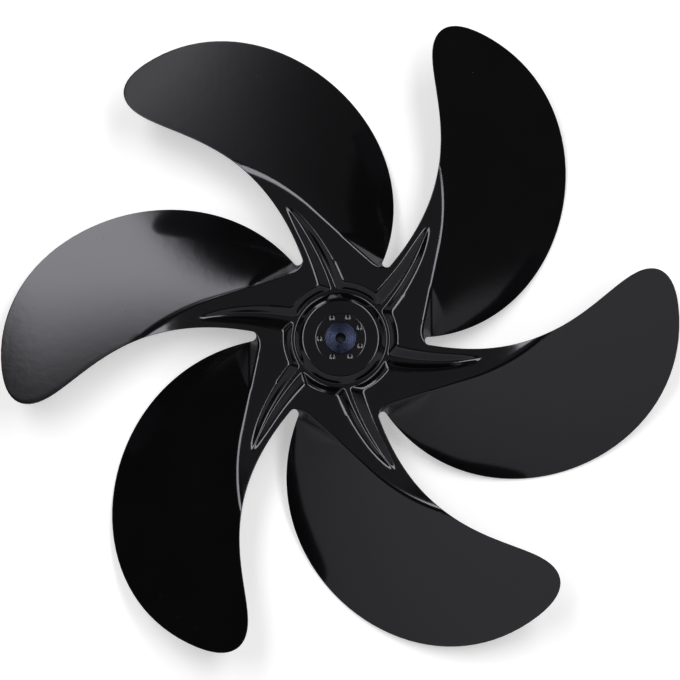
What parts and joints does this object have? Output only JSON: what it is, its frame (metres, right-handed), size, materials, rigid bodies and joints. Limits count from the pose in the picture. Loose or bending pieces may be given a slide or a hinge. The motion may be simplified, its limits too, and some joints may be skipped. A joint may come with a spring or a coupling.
{
  "type": "stove fan blade",
  "caption": "Pressed-sheet stove fan blade with curved, pitched blades round a ribbed hub, and a small bored bush that presses onto a motor shaft.",
  "frame": {"origin": "on the axis of the shaft bore, level with the front of the flat hub panel", "axes": "+Z along the bore to the front, the side the air leaves by; +X through the notch on the picture's right; +Y to the picture's top"},
  "size_m": [0.1798, 0.1664, 0.0207],
  "materials": {
    "black_sheet": "black lacquer, glossy",
    "blued_bush": "turned and blue-black"
  },
  "bodies": {
    "root": {"blade_disc": "black_sheet", "hub_bush": "blued_bush"}
  },
  "joints": []
}
